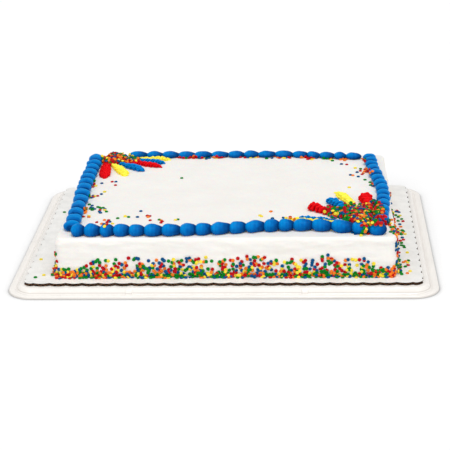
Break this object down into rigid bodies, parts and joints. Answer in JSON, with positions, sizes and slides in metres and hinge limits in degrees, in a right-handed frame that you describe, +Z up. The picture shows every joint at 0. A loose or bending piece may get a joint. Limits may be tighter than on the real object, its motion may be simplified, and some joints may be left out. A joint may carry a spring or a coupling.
{
  "type": "decorated sheet cake",
  "caption": "Rectangular iced sheet cake with a piped shell border, piped corner strokes and sprinkles, on a scalloped silver board in a clear tray.",
  "frame": {"origin": "on the floor, under the middle of the tray", "axes": "+X along the cake's length towards its right end, -Y towards its front, +Z up"},
  "size_m": [0.5128, 0.3868, 0.075],
  "materials": {
    "clear_plastic": "clear thin moulded plastic, glossy",
    "silver_board": "corrugated card with a silver-grey foil face and a raw brown edge",
    "white_icing": "smooth off-white buttercream with small sugar discs pressed in",
    "blue_icing": "royal blue piped icing, soft gloss",
    "red_icing": "red piped icing, soft gloss",
    "yellow_icing": "yellow piped icing, soft gloss",
    "mixed_sprinkles": "red, orange, yellow, green and blue sugar discs"
  },
  "bodies": {
    "root": {"tray": "clear_plastic", "board": "silver_board", "cake": "white_icing", "border_front": "blue_icing", "border_back": "blue_icing", "border_left": "blue_icing", "border_right": "blue_icing", "stroke_back_1": "yellow_icing", "stroke_back_2": "blue_icing", "stroke_back_3": "red_icing", "stroke_back_4": "blue_icing", "stroke_back_5": "yellow_icing", "stroke_back_6": "red_icing", "stroke_front_1": "yellow_icing", "stroke_front_2": "blue_icing", "stroke_front_3": "red_icing", "stroke_front_4": "blue_icing", "stroke_front_5": "yellow_icing", "stroke_front_6": "red_icing", "sprinkle_heap_back": "mixed_sprinkles", "sprinkle_heap_front": "mixed_sprinkles"}
  },
  "joints": []
}
